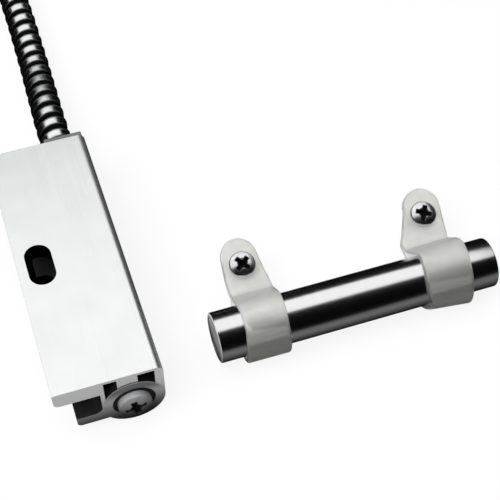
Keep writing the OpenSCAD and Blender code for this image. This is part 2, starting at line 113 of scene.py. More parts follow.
def ringsAlong(line, radius, sides, twist=0):
    # Rings round a line that never runs upright: at each point, side is along x up, rise is side x along, and the
    # ring is point + radius (cos q side + sin q rise). Radius may differ from point to point and round each ring
    along = np.gradient(line, axis=0)
    along /= np.linalg.norm(along, axis=1, keepdims=True)
    side = np.cross(along, [0, 0, 1])
    side /= np.linalg.norm(side, axis=1, keepdims=True)
    rise = np.cross(side, along)
    q = np.linspace(0, 2 * np.pi, sides, endpoint=False)[None, :, None] + np.reshape(twist, (-1, 1, 1))
    radius = np.broadcast_to(np.asarray(radius, float), (len(line), sides))[:, :, None]
    return line[:, None] + radius * (np.cos(q) * side[:, None] + np.sin(q) * rise[:, None])


def turned(profile, origin, axis, across, sides=96):
    # A turned shape: each (distance along the axis, radius) of the profile becomes a ring round the axis,
    # origin + distance axis + radius (cos q across + sin q third)
    profile = np.array(profile, float)
    axis, across = np.array(axis, float), np.array(across, float)
    third = np.cross(axis, across)
    q = np.linspace(0, 2 * np.pi, sides, endpoint=False)[None, :, None]
    return (np.array(origin, float) + profile[:, :1, None] * axis
            + profile[:, 1:, None] * (np.cos(q) * across + np.sin(q) * third))


def linear(colour):
    # sRGB hex to linear: c/12.92 below 0.04045, else ((c + 0.055)/1.055)^2.4
    values = [int(colour[k:k + 2], 16) / 255 for k in (1, 3, 5)]
    return tuple(v / 12.92 if v <= 0.04045 else ((v + 0.055) / 1.055) ** 2.4 for v in values) + (1,)


def addNode(tree, kind, sockets=None, out=0, stops=(), **settings):
    # One node with its own settings. Sockets gives an input, by name or number, a value or another node's output, and
    # stops gives a colour ramp its (place, colour) pairs. What comes back is the output with that name or number
    node = tree.nodes.new(kind)
    for name, value in settings.items():
        setattr(node, name, value)
    for k, (place, colour) in enumerate(stops):
        node.color_ramp.elements[k].position = place
        node.color_ramp.elements[k].color = linear(colour)
    for name, value in (sockets or {}).items():
        if isinstance(value, bpy.types.NodeSocket):
            tree.links.new(value, node.inputs[name])
        else:
            node.inputs[name].default_value = value
    return node.outputs[out] if node.outputs else node


def newMaterial(name, scalars):
    # A material and its shader, whose plain numbers and colours are set on the shader's own sockets
    material = bpy.data.materials.new(name)
    material.use_nodes = True
    shader = material.node_tree.nodes["Principled BSDF"]
    for socket, value in scalars.items():
        shader.inputs[socket].default_value = value
    return material, material.node_tree, shader


def feed(tree, shader, patterns):
    # Links each pattern to the shader's socket of that name
    for socket, pattern in patterns.items():
        tree.links.new(pattern, shader.inputs[socket])


def grain(tree, size, stretch=(1, 1, 1), detail=3.0):
    # Noise in object coordinates with features of that size in mm, drawn out along the axes where stretch is above 1
    where = addNode(tree, "ShaderNodeTexCoord", out="Object")
    drawn = addNode(tree, "ShaderNodeMapping", {"Vector": where, "Scale": tuple(1 / s for s in stretch)})
    return addNode(tree, "ShaderNodeTexNoise", {"Vector": drawn, "Scale": 1 / (size * mm), "Detail": detail})


def risen(tree, low, high):
    # 0 where the surface is lower than low, in mm over what the object stands on, 1 where higher than high
    where = addNode(tree, "ShaderNodeTexCoord", out="Object")
    height = addNode(tree, "ShaderNodeSeparateXYZ", {0: where}, out="Z")
    return addNode(tree, "ShaderNodeMapRange", {"Value": height, "From Min": low * mm, "From Max": high * mm},
                   interpolation_type="SMOOTHSTEP")


mouth = {"middle": (12.7, 0, 7.6), "radius": 7.6}       # the switch tube's axis and its outside


def anodisedAluminium():
    # Aluminium, extruded and clear anodised: satin, with faint die lines along its length, drawn wider than real ones
    material, tree, shader = newMaterial("anodisedAluminium", {"Metallic": 0.85})
    lines, cloud = grain(tree, 0.5, stretch=(1, 120, 1), detail=4), grain(tree, 9, detail=2)
    feed(tree, shader, {
        "Base Color": addNode(tree, "ShaderNodeValToRGB", {0: cloud}, stops=[(0.3, "#e9eaea"), (0.7, "#eeefef")]),
        "Roughness": addNode(tree, "ShaderNodeMapRange", {0: lines, "To Min": 0.22, "To Max": 0.3}),
        "Normal": addNode(tree, "ShaderNodeBump", {"Height": lines, "Distance": 0.0015 * mm})})
    return material


def sawnAluminium():
    # Aluminium, sawn across and etched before it was anodised: chalky grey with fine lines where the blade went. It
    # has painted shade: darker toward its foot, and darker again round the top of the tube's mouth
    material, tree, shader = newMaterial("sawnAluminium", {"Specular IOR Level": 0.3})
    cuts = grain(tree, 0.35, stretch=(30, 1, 1.4), detail=4)
    where = addNode(tree, "ShaderNodeTexCoord", out="Object")
    off = addNode(tree, "ShaderNodeVectorMath", {0: where, 1: tuple(c * mm for c in mouth["middle"])},
                  operation="SUBTRACT")
    off = addNode(tree, "ShaderNodeVectorMath", {0: off, 1: (1, 0, 1)}, operation="MULTIPLY")
    off = addNode(tree, "ShaderNodeVectorMath", {0: off}, out="Value", operation="LENGTH")
    rim = addNode(tree, "ShaderNodeMapRange", {
        0: off, "From Min": (mouth["radius"] - 0.4) * mm, "From Max": (mouth["radius"] + 0.2) * mm, "To Min": 0.22})
    # Painted shade: the rim mask darkens the end round the top of the tube's mouth, and the rise below darkens it
    # toward the foot
    paintedRimShade = addNode(tree, "ShaderNodeMix", {0: risen(tree, 9, 13), 2: 1.0, 3: rim})
    light = addNode(tree, "ShaderNodeMath", {0: risen(tree, 1, 16), 1: paintedRimShade}, operation="MULTIPLY")
    lined = addNode(tree, "ShaderNodeMapRange", {0: cuts, "To Min": 0.9, "To Max": 1.06})
    light = addNode(tree, "ShaderNodeMath", {0: light, 1: lined}, operation="MULTIPLY")
    feed(tree, shader, {
        "Base Color": addNode(tree, "ShaderNodeValToRGB", {0: light}, stops=[(0, "#363637"), (1, "#fcfcfc")]),
        "Roughness": addNode(tree, "ShaderNodeMapRange", {0: cuts, "To Min": 0.5, "To Max": 0.65}),
        "Normal": addNode(tree, "ShaderNodeBump", {"Height": cuts, "Distance": 0.012 * mm})})
    return material


def zincPlate(name, low, high, roughness, metallic=1.0, foot=None):
    # Steel, formed cold and then zinc plated: clean grey metal, slightly uneven. Painted shade darkens it in a head's
    # recess or a hose's groove, and toward the foot of a head that stands on its side
    material, tree, shader = newMaterial(name, {"Metallic": metallic})
    patches, recess = grain(tree, 1.2), addNode(tree, "ShaderNodeAttribute", out="Fac", attribute_name="recess")
    plated = addNode(tree, "ShaderNodeValToRGB", {0: patches}, stops=[(0.35, low), (0.65, high)])
    # Painted shade toward the foot, darkening to #3c3c3d
    if foot:
        plated = addNode(tree, "ShaderNodeMix", {0: risen(tree, *foot), 6: linear("#3c3c3d"), 7: plated}, out=2,
                         data_type="RGBA")
    even = addNode(tree, "ShaderNodeMapRange", {0: patches, "To Min": roughness - 0.05, "To Max": roughness + 0.07})
    # The recess attribute paints shade in #1a1a1b, with a rougher gloss
    feed(tree, shader, {
        "Base Color": addNode(tree, "ShaderNodeMix", {0: recess, 6: plated, 7: linear("#1a1a1b")}, out=2,
                              data_type="RGBA"),
        "Roughness": addNode(tree, "ShaderNodeMix", {0: recess, 2: even, 3: 0.6}),
        "Normal": addNode(tree, "ShaderNodeBump", {"Height": grain(tree, 0.4), "Distance": 0.0015 * mm})})
    return material


def moulded(name, low, high, roughness, size=0.35, depth=0.01, foot=None):
    # Thermoplastic, injection moulded: even colour with a fine spark-eroded texture from the mould
    material, tree, shader = newMaterial(name, {"IOR": 1.49})
    texture = grain(tree, size)
    colour = addNode(tree, "ShaderNodeValToRGB", {0: grain(tree, 6)}, stops=[(0.3, low), (0.7, high)])
    # Where foot is given, painted shade darkens the colour toward the foot, to #5a5a5a
    if foot:
        colour = addNode(tree, "ShaderNodeMix", {0: risen(tree, *foot), 6: linear("#5a5a5a"), 7: colour}, out=2,
                         data_type="RGBA")
    feed(tree, shader, {
        "Base Color": colour,
        "Roughness": addNode(tree, "ShaderNodeMapRange", {
            0: texture, "To Min": roughness - 0.06, "To Max": roughness + 0.06}),
        "Normal": addNode(tree, "ShaderNodeBump", {"Height": texture, "Distance": depth * mm})})
    return material


def extrudedVinyl(name, low, high):
    # PVC, extruded over copper strands: smooth and slightly waxy, with a long faint waviness
    material, tree, shader = newMaterial(name, {"IOR": 1.53})
    feed(tree, shader, {
        "Base Color": addNode(tree, "ShaderNodeValToRGB", {0: grain(tree, 3)}, stops=[(0.3, low), (0.7, high)]),
        "Roughness": addNode(tree, "ShaderNodeMapRange", {0: grain(tree, 1.5), "To Min": 0.3, "To Max": 0.42}),
        "Normal": addNode(tree, "ShaderNodeBump", {"Height": grain(tree, 2.5), "Distance": 0.02 * mm})})
    return material


def drawnMetal(name, low, high, roughness, size=0.3, stretch=(1, 1, 1), depth=0.004):
    # Metal, drawn, rolled or cast: fine lines or grain in its own direction
    material, tree, shader = newMaterial(name, {"Metallic": 1.0})
    lines = grain(tree, size, stretch=stretch)
    feed(tree, shader, {
        "Base Color": addNode(tree, "ShaderNodeValToRGB", {0: lines}, stops=[(0.3, low), (0.7, high)]),
        "Roughness": addNode(tree, "ShaderNodeMapRange", {
            0: lines, "To Min": roughness - 0.04, "To Max": roughness + 0.06}),
        "Normal": addNode(tree, "ShaderNodeBump", {"Height": lines, "Distance": depth * mm})})
    return material


def polishedTube():
    # Aluminium tube, drawn and buffed bright: near mirror, with hairlines round it from the buffing wheel, drawn ten
    # times wider than real ones
    material, tree, shader = newMaterial("polishedTube", {"Metallic": 1.0})
    hairlines = grain(tree, 0.12, stretch=(1, 60, 60))
    feed(tree, shader, {
        "Base Color": addNode(tree, "ShaderNodeValToRGB", {0: hairlines}, stops=[(0.3, "#dededf"), (0.7, "#e8e8e9")]),
        "Roughness": addNode(tree, "ShaderNodeMapRange", {0: hairlines, "To Min": 0.17, "To Max": 0.24}),
        "Normal": addNode(tree, "ShaderNodeBump", {"Height": hairlines, "Distance": 0.0006 * mm})})
    return material


def naturalNylon():
    # Nylon 6/6, moulded flat in its natural colour and bent round: milky, waxy, lets a little light through, with
    # painted shade, a grey, over the front and underside of its loop
    material, tree, shader = newMaterial("naturalNylon", {
        "IOR": 1.53, "Transmission Weight": 0.76, "Subsurface Weight": 0.2,
        "Subsurface Radius": (1.0, 0.95, 0.85), "Subsurface Scale": 0.0012})
    flow, paintedFrontShade = grain(tree, 2.4), addNode(tree, "ShaderNodeAttribute", out="Fac", attribute_name="recess")
    milky = addNode(tree, "ShaderNodeValToRGB", {0: flow}, stops=[(0.3, "#ededea"), (0.7, "#f8f8f6")])
    # The grey #b3b3b1 is painted shade, applied by the attribute stored on the strap
    feed(tree, shader, {
        "Base Color": addNode(tree, "ShaderNodeMix", {0: paintedFrontShade, 6: milky, 7: linear("#b3b3b1")}, out=2,
                              data_type="RGBA"),
        "Roughness": addNode(tree, "ShaderNodeMapRange", {0: grain(tree, 0.8), "To Min": 0.38, "To Max": 0.5}),
        "Normal": addNode(tree, "ShaderNodeBump", {"Height": flow, "Distance": 0.05 * mm})})
    return material


def capsuleGlass():
    # Soft glass tube, melted shut over the stems: clear with a faint green body
    material, tree, shader = newMaterial("capsuleGlass", {"Transmission Weight": 1.0, "IOR": 1.5})
    feed(tree, shader, {
        "Base Color": addNode(tree, "ShaderNodeValToRGB", {0: grain(tree, 4)},
                              stops=[(0.3, "#d9efe0"), (0.7, "#e4f5e9")]),
        "Roughness": addNode(tree, "ShaderNodeMapRange", {0: grain(tree, 1), "To Min": 0.02, "To Max": 0.05})})
    return material


aluminium = anodisedAluminium()
sawnEnd = sawnAluminium()
# Painted shade: the next two are dark materials laid on the housing's channel and hollows and on its slot's walls
paintedInsideShade = moulded("paintedInsideShade", "#222223", "#2c2c2d", 0.6, size=0.5, depth=0.02)
slotShade = drawnMetal("paintedSlotShade", "#2b2b2c", "#3a3a3b", 0.55, size=0.4, depth=0.02)
hoseSteel = zincPlate("galvanisedStrip", "#e2e3e4", "#ecedee", 0.2)
screwZinc = zincPlate("brightZinc", "#d6d7d9", "#e4e5e6", 0.24)
# The end screw's head takes painted shade toward its foot
dullZinc = zincPlate("dullZinc", "#cfd0d2", "#dddedf", 0.4, metallic=0.45, foot=(5, 12.5))
plugPlastic = moulded("plugNylon", "#262627", "#2e2e2f", 0.5)
capPlastic = moulded("capMoulding", "#68696a", "#737475", 0.5)
bushingPlastic = moulded("bushingPolythene", "#8e2418", "#9a2c1e", 0.42)
blackVinyl = extrudedVinyl("blackVinyl", "#151515", "#1d1d1d")
redVinyl = extrudedVinyl("redVinyl", "#a01e16", "#ab281e")
tinnedCopper = drawnMetal("tinnedCopper", "#c2c0ba", "#d2d0cb", 0.3)
tubeBright = polishedTube()
# The discs take painted shade toward their foot
discPlastic = moulded("discStyrene", "#b6b7b7", "#bfc0c0", 0.5, foot=(3, 9.5))
magnetAlloy = drawnMetal("castMagnetAlloy", "#5d5d60", "#747477", 0.5, size=0.6, depth=0.03)
spacerPlastic = moulded("spacerPolythene", "#d6d3ca", "#e0ddd5", 0.5)
nylon = naturalNylon()
glass = capsuleGlass()
nickelIron = drawnMetal("nickelIronWire", "#a5a29b", "#b5b2ab", 0.34, size=0.2, stretch=(1, 40, 1))
contactPlate = drawnMetal("rhodiumPlatedBlade", "#bdb9b1", "#cbc8c1", 0.22, size=0.2, stretch=(1, 30, 1))
solderTin = drawnMetal("tinSolder", "#b8babd", "#c9cbce", 0.2, size=1.0, depth=0.02)
resin = moulded("pottingEpoxy", "#1b1d1f", "#232527", 0.2, size=3, depth=0.03)
print("materials made")


# The hose's route repeats the drawing's: straight out of the cap, down to the surface, then a flat coil of two turns
hoseRoute = {
    "start": (13.6, 40.7, 0),
    "points": [
        (0, 0, 7.6), (0, 6, 7.6), (0.1, 12, 7.4), (0.2, 18, 7), (0.4, 24, 6.4), (0.6, 30, 5.7), (0.8, 36, 5),
        (1, 42, 4.5), (1.1, 48, 4.3), (1.2, 54, 4.2), (1.3, 62, 4.2), (1.3, 72, 4.2), (1.3, 84, 4.2),
        (1.3, 96, 4.2), (1.3, 108, 4.2), (1.3, 119, 4.2),
    ],
    "radius": 4.2, "layX": 1.3, "coilY": 128, "outerTurn": 48.2, "innerTurn": 39.8,
    "stepIn": 280, "stepEnd": 360, "endTurn": 626.0,    # degrees: the outer turn goes over to the inner, and the end
    "turnStep": 10, "lastStep": 6,                      # degrees between points, and the least before the last
}
hoseRibs = {
    "pitch": 4.86,              # length of one turn of the strip
    "wave": 0.2, "lean": 0.13,  # how far each turn's flat crown falls at its seams, and its slope, laid over the last
    "leanFade": (0.28, 0.2),    # share of the pitch from the crown where that slope dies out, and over what share
    "phase": 0.72,              # share of a turn by which the seams are shifted along, as the photograph has them
    "seam": 0.14, "seamWidth": 0.5,     # depth and width of the seam
    "open": 0.15, "openLength": 60,     # near the cap the turns stand open, so that the hose is thicker there
    "paintedShade": (0.14, 0.28),       # shares of the pitch from the crown where the painted shade of the groove begins and is full
    "step": 0.405, "sides": 48,
}
freeLeads = {
    "radius": 0.75, "side": 1.2, "bushing": 6,          # side is from the middle of the bushing, whose length follows
    "tailIn": 7, "tailFall": 35, "tailTurn": 110,       # how far inward, over how many degrees, and where they end
    "cutEdge": 0.12, "bare": 7, "step": 0.6, "sides": 20,
    "strands": 7, "strandRadius": 0.16, "strandCircle": 0.34, "strandLay": 9, "strandSides": 8,
}
coilCentre = np.array(hoseRoute["start"]) + [hoseRoute["layX"] + hoseRoute["outerTurn"], hoseRoute["coilY"], 0]


def onCoil(radius, turn, height):
    # A point on the coil: centre + radius (cos(180 - turn), sin(180 - turn)), at that height
    q = np.radians(180 - np.asarray(turn, float))
    radius = np.broadcast_to(radius, q.shape)
    return coilCentre + np.stack([radius * np.cos(q), radius * np.sin(q), np.broadcast_to(height, q.shape)], -1)


def ease(s):
    # 0 below 0, 1 above 1, and s^2 (3 - 2s) between
    s = np.clip(s, 0, 1)
    return s * s * (3 - 2 * s)


def darkness(piece, share):
    # Stores, point by point, how much painted shade each point of a shell takes: in a recess or groove, or the grey on
    # a strap
    piece.data.attributes.new("recess", "FLOAT", "POINT").data.foreach_set("value", share.ravel())


turns = np.arange(0, hoseRoute["endTurn"] - hoseRoute["lastStep"], hoseRoute["turnStep"])
turns = np.append(turns, hoseRoute["endTurn"])
stepped = ease((turns - hoseRoute["stepIn"]) / (hoseRoute["stepEnd"] - hoseRoute["stepIn"]))
coilRadius = hoseRoute["outerTurn"] + (hoseRoute["innerTurn"] - hoseRoute["outerTurn"]) * stepped
hosePoints = np.concatenate([
    np.array(hoseRoute["points"]) + hoseRoute["start"], onCoil(coilRadius, turns, hoseRoute["radius"])])
hoseLine, hoseAlong = smoothLine(hosePoints, hoseRibs["step"])

# The strip's turns: radius = hose radius - wave (2 x / pitch)^4 + lean x - seam, where x is the distance from a turn's
# middle and the lean dies out toward the seams. The turns advance one pitch for each time round
q = np.linspace(0, 1, hoseRibs["sides"], endpoint=False)[None]
x = ((hoseAlong[:, None] / hoseRibs["pitch"] + q + hoseRibs["phase"]) % 1 - 0.5) * hoseRibs["pitch"]
seam = hoseRibs["seam"] * np.exp(-((np.abs(x) - hoseRibs["pitch"] / 2) / (hoseRibs["seamWidth"] / 2)) ** 2)
hoseSkin = hoseRoute["radius"] - hoseRibs["wave"] * (2 * x / hoseRibs["pitch"]) ** 4 - seam
fadeStart, fadeOver = hoseRibs["leanFade"]
hoseSkin += hoseRibs["lean"] * x * (1 - ease((np.abs(x) / hoseRibs["pitch"] - fadeStart) / fadeOver))
hoseSkin += hoseRibs["open"] * (1 - ease(hoseAlong / hoseRibs["openLength"]))[:, None]
hose = shell("armourHose", ringsAlong(hoseLine, hoseSkin, hoseRibs["sides"]), "switch", hoseSteel)
# The seams take painted shade, from the first share of the pitch to full at the second
grooveStart, grooveFull = hoseRibs["paintedShade"]
darkness(hose, ease((np.abs(x) / hoseRibs["pitch"] - grooveStart) / (grooveFull - grooveStart)))
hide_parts("armoured_cable", "cable_coil")


def freeLead(name, side, material):
    # A lead leaves the bushing, falls to the surface and follows the coil's inside. Its last few millimetres are
    # bare: six strands laid round a seventh, each a helix of one turn in strandLay
    s = freeLeads
    a = np.arange(0, s["tailTurn"] + 1, hoseRoute["turnStep"])
    down = ease(a / s["tailFall"])
    mouthRadius = math.hypot(hoseRoute["innerTurn"], s["bushing"])
    mouthTurn = hoseRoute["endTurn"] + math.degrees(math.atan(s["bushing"] / hoseRoute["innerTurn"]))
    points = onCoil(mouthRadius + side * s["side"] - s["tailIn"] * down, mouthTurn + a,
                    hoseRoute["radius"] - (hoseRoute["radius"] - s["radius"]) * down)
    line, along = smoothLine(points, s["step"])
    covered = along <= along[-1] - s["bare"]
    skin = np.full(covered.sum(), s["radius"])
    skin[-1] -= s["cutEdge"]
    lead = shell(name, ringsAlong(line[covered], skin[:, None], s["sides"]), "switch", material)
    bareLine, bareAlong = line[~covered], along[~covered]
    strands, outer = [], s["strands"] - 1
    for k in range(s["strands"]):
        q = (bareAlong / s["strandLay"] + k / outer) * 2 * np.pi
        helix = ringsAlong(bareLine, s["strandCircle"] * (k < outer), 1, q)[:, 0]
        strand = ringsAlong(helix, s["strandRadius"], s["strandSides"])
        strands.append(shell(f"{name}Strand{k}", strand, "switch", tinnedCopper))
    return lead, strands, line[covered]


blackLead, blackStrands, blackLine = freeLead("blackFreeLead", -1, blackVinyl)
redLead, redStrands, redLine = freeLead("redFreeLead", 1, redVinyl)
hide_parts("black_tail")
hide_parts("red_tail")


def lengthOf(line):
    # Sum of the distances between neighbouring points
    return float(np.linalg.norm(np.diff(line, axis=0), axis=1).sum()) * mm


print("cable laid,", round(lengthOf(hoseLine), 4), "m")


studio = {                      # panels and reach in metres
    "key": {"size": (2.0, 1.29), "place": (0.12, 0.42, 1), "aim": (0.12, 0.42, 0), "glow": 1.14},
    "fill": {"size": (0.8, 0.8), "place": (-0.42, -0.2, 0.62), "aim": (0.04, 0, 0), "glow": 3.2},
    "roomForDiffuse": 0.1, "roomForGloss": 0.002,   # how bright the room is to matt surfaces, and in reflections
    "floorForDiffuse": "#8c8c8c", "floorInFront": "#6c6c6c", "floorBehind": "#0c0c0c",
    "front": (-31, -42), "farFront": (-90, -50),    # along Y, where the floor's tone in reflections rises and falls
    "floorWhite": 0.86,                             # how much of the floor is plain white to the camera
    "underMiddle": (6.25, 12, 0), "underHalf": (9.6, 18), "underSoft": (2.4, 14),   # the shade under the housing
    "reach": 3,                                     # half the floor's width
}


def softPanel(name, size, place, aim, glow, seenInGloss):
    # A flat rectangular lamp turned to its aim. Its watts are radiance x pi x area
    lamp = bpy.data.lights.new(name, "AREA")
    lamp.shape = "RECTANGLE"
    lamp.size, lamp.size_y = size
    lamp.energy = glow * math.pi * size[0] * size[1]
    holder = bpy.data.objects.new(name, lamp)
    holder.location = place
    holder.rotation_euler = (Vector(aim) - Vector(place)).to_track_quat("-Z", "Y").to_euler()
    holder.visible_glossy = seenInGloss
    holder.visible_camera = False
    bpy.context.scene.collection.objects.link(holder)


softPanel("keyPanel", seenInGloss=True, **studio["key"])
softPanel("fillPanel", seenInGloss=False, **studio["fill"])


def seenStraight(tree, rays):
    # 1 where the camera looks straight or through glass, else 0
    return addNode(tree, "ShaderNodeMath", {0: rays["Is Camera Ray"], 1: rays["Is Transmission Ray"]},
                   operation="MAXIMUM")


# The room is white to the camera and through glass, and dark in reflections, as in the photograph's bright metal
world = bpy.data.worlds.new("room")
bpy.context.scene.world = world
world.use_nodes = True
tree = world.node_tree
tree.nodes.clear()
rays = addNode(tree, "ShaderNodeLightPath").node.outputs
dim = addNode(tree, "ShaderNodeMix", {0: rays["Is Glossy Ray"], 2: studio["roomForDiffuse"], 3: studio["roomForGloss"]})
strength = addNode(tree, "ShaderNodeMix", {0: seenStraight(tree, rays), 2: dim, 3: 1.0})
air = addNode(tree, "ShaderNodeBackground", {"Color": (1, 1, 1, 1), "Strength": strength})
addNode(tree, "ShaderNodeOutputWorld", {"Surface": air})

# The floor: a plain pale sheet that keeps the object's shadow. Under the housing, where the slot shows it, it is
# dark with the depth of that shadow. In reflections it is grey in front of the object and darker behind
floorMesh = bpy.data.meshes.new("floor")
floorMesh.from_pydata([(x * studio["reach"], y * studio["reach"], 0) for x, y in ((-1, -1), (1, -1), (1, 1), (-1, 1))],
                      [], [(0, 1, 2, 3)])
floor = bpy.data.objects.new("floor", floorMesh)
bpy.context.scene.collection.objects.link(floor)
paper = bpy.data.materials.new("palePaper")
paper.use_nodes = True
tree = paper.node_tree
tree.nodes.clear()
rays = addNode(tree, "ShaderNodeLightPath").node.outputs
seen = seenStraight(tree, rays)
where = addNode(tree, "ShaderNodeTexCoord", out="Object")
deep = addNode(tree, "ShaderNodeSeparateXYZ", {0: where}, out="Y")
front = addNode(tree, "ShaderNodeMath", {
    k: addNode(tree, "ShaderNodeMapRange", {0: deep, "From Min": near * mm, "From Max": far * mm})
    for k, (near, far) in enumerate((studio["front"], studio["farFront"]))}, operation="MULTIPLY")
away = addNode(tree, "ShaderNodeVectorMath", {0: where, 1: tuple(c * mm for c in studio["underMiddle"])},
               operation="SUBTRACT")
away = addNode(tree, "ShaderNodeVectorMath", {0: away}, operation="ABSOLUTE")
away = addNode(tree, "ShaderNodeSeparateXYZ", {0: away}).node.outputs
under = addNode(tree, "ShaderNodeMath", {
    k: addNode(tree, "ShaderNodeMapRange", {0: away[k], "From Min": (half + soft) * mm, "From Max": half * mm})
    for k, (half, soft) in enumerate(zip(studio["underHalf"], studio["underSoft"]))}, operation="MULTIPLY")
tone = linear(studio["floorBehind"])
tone = addNode(tree, "ShaderNodeMix", {0: front, 6: tone, 7: linear(studio["floorInFront"])}, out=2, data_type="RGBA")
tone = addNode(tree, "ShaderNodeMix", {0: rays["Is Glossy Ray"], 6: linear(studio["floorForDiffuse"]), 7: tone}, out=2,
               data_type="RGBA")
tone = addNode(tree, "ShaderNodeMix", {0: seen, 6: tone, 7: (1, 1, 1, 1)}, out=2, data_type="RGBA")
tone = addNode(tree, "ShaderNodeMix", {0: under, 6: tone, 7: linear(studio["floorBehind"])}, out=2, data_type="RGBA")
matt = addNode(tree, "ShaderNodeBsdfDiffuse", {"Color": tone})
bright = addNode(tree, "ShaderNodeEmission", {
    "Color": (1, 1, 1, 1), "Strength": addNode(tree, "ShaderNodeMix", {0: under, 2: 1.0, 3: 0.0})})
share = addNode(tree, "ShaderNodeMath", {0: seen, 1: studio["floorWhite"]}, operation="MULTIPLY")
addNode(tree, "ShaderNodeOutputMaterial", {
    "Surface": addNode(tree, "ShaderNodeMixShader", {0: share, 1: matt, 2: bright})})
floorMesh.materials.append(paper)
bpy.context.scene.view_settings.view_transform = "Standard"
print("studio lit")


nodeFinish = {
    "housing": aluminium, "end_plug": plugPlastic, "end_screw": screwZinc, "cable_cap": capPlastic,
    "glass_capsule": glass, "lower_stem": nickelIron, "upper_stem": nickelIron, "lower_blade": contactPlate,
    "upper_blade": contactPlate, "lower_solder": solderTin, "upper_solder": solderTin, "black_lead": blackVinyl,
    "red_lead": redVinyl, "potting": resin, "armour_bushing": bushingPlastic, "magnet_tube": tubeBright,
    "near_disc": discPlastic, "far_disc": discPlastic, "near_magnet": magnetAlloy, "far_magnet": magnetAlloy,
    "magnet_spacer": spacerPlastic, "near_clip": nylon, "far_clip": nylon, "near_clip_screw": screwZinc,
    "far_clip_screw": screwZinc,
}
for name, material in nodeFinish.items():
    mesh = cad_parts[name].data
    mesh.materials.clear()
    mesh.materials.append(material)


def cutAway(piece, rings):
    # Takes the prism between two rings of points away from the piece's own mesh
    n = rings.shape[1]
    k = np.arange(n)
    sides = np.stack([k, (k + 1) % n, n + (k + 1) % n, n + k], 1).tolist()
    mesh = bpy.data.meshes.new("cutter")
    mesh.from_pydata((rings.reshape(-1, 3) * mm).tolist(), [], [k[::-1].tolist(), (k + n).tolist(), *sides])
    work = bmesh.new()
    work.from_mesh(mesh)
    bmesh.ops.recalc_face_normals(work, faces=work.faces)
    work.to_mesh(mesh)
    work.free()
    cutter = bpy.data.objects.new("cutter", mesh)
    bpy.context.scene.collection.objects.link(cutter)
    cut = piece.modifiers.new("cut", "BOOLEAN")
    cut.operation, cut.solver, cut.object = "DIFFERENCE", "EXACT", cutter
    bpy.context.view_layer.update()
    whole = bpy.data.meshes.new_from_object(piece.evaluated_get(bpy.context.evaluated_depsgraph_get()))
    piece.modifiers.clear()
    piece.data = whole
    whole.set_sharp_from_angle(angle=sharpAngle)
    bpy.data.objects.remove(cutter)
    bpy.data.meshes.remove(mesh)


def perFace(mesh, kind):
    # Each face's normal or center, one row for each
    values = np.zeros(3 * len(mesh.polygons))
    mesh.polygons.foreach_get(kind, values)
    return values.reshape(-1, 3)


edgeWork = {"weld": 1e-6, "flat": 0.5, "sharp": 30, "segments": 3}      # metres, degrees, degrees and a count
section = {
    "bevel": 0.35,
    "slot": (3.4, 6.3),             # half width and half length of the slot, which is at the origin, and a little more
    "channel": ((-5.5, 6.6), (0.6, 14.05)),     # x and z between which the side channel's faces lie
    "hollows": ((5.9, 18.35), (7.7, 18.2)),     # and those of the two hollows
}


def broken(name, node, body, material, edge, cutMaterial=None, gap=None):
    # A drawn part with its sharp edges broken: its triangles are merged into whole faces, and a small bevel runs
    # along every sharp edge. Where its cut ends have a material of their own, the walls of its slot and its channel
    # with the hollows take dark materials as painted shade
    work = bmesh.new()
    work.from_mesh(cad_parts[node].data)
    bmesh.ops.remove_doubles(work, verts=work.verts, dist=edgeWork["weld"])
    bmesh.ops.dissolve_limit(work, angle_limit=math.radians(edgeWork["flat"]), verts=work.verts, edges=work.edges)
    mesh = bpy.data.meshes.new(name)
    work.to_mesh(mesh)
    work.free()
    mesh.materials.clear()
    mesh.materials.append(material)
    if cutMaterial:
        for inner in (cutMaterial, paintedInsideShade, slotShade):
            mesh.materials.append(inner)
        facing, (x, y, z) = np.abs(perFace(mesh, "normal")).T, perFace(mesh, "center").T / mm
        inSlot = (facing[2] < 0.1) & (np.abs(x) < section["slot"][0]) & (np.abs(y) < section["slot"][1])
        within = [(x > x0) & (x < x1) & (z > z0) & (z < z1) & (facing[1] < 0.5)
                  for (x0, x1), (z0, z1) in (section["channel"], section["hollows"])]
        index = np.where(inSlot, 3, np.where(within[0] | within[1], 2, facing[1] > 0.99))
        mesh.polygons.foreach_set("material_index", index.astype(int))
    mesh.polygons.foreach_set("use_smooth", np.ones(len(mesh.polygons), bool))
    piece = bpy.data.objects.new(name, mesh)
    bpy.context.scene.collection.objects.link(piece)
    bevel = piece.modifiers.new("edge", "BEVEL")
    bevel.width, bevel.segments = edge * mm, edgeWork["segments"]
    bevel.limit_method, bevel.angle_limit = "ANGLE", math.radians(edgeWork["sharp"])
    if gap is not None:
        cutAway(piece, gap)
    piece.modifiers.new("shading", "WEIGHTED_NORMAL").keep_sharp = True
    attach(piece, body)
    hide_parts(node)
    return piece


# Over the tube the skin stands off by a narrow gap that opens one hollow to the other: middle + r (cos a, 0, sin a)
skinGap = {"inner": 7.65, "outer": 8.1, "from": 78, "to": 119, "steps": 12, "start": -38, "depth": 6}
a = np.radians(np.linspace(skinGap["from"], skinGap["to"], skinGap["steps"]))
outline = np.concatenate([skinGap["inner"] * np.exp(1j * a), skinGap["outer"] * np.exp(1j * a[::-1])])
gapRings = np.stack([np.stack([outline.real, 0 * outline.real + y, outline.imag], 1) + mouth["middle"]
                     for y in (skinGap["start"], skinGap["start"] + skinGap["depth"])])
broken("housingExtrusion", "housing", "switch", aluminium, section["bevel"], sawnEnd, gapRings)
print("housing dressed")

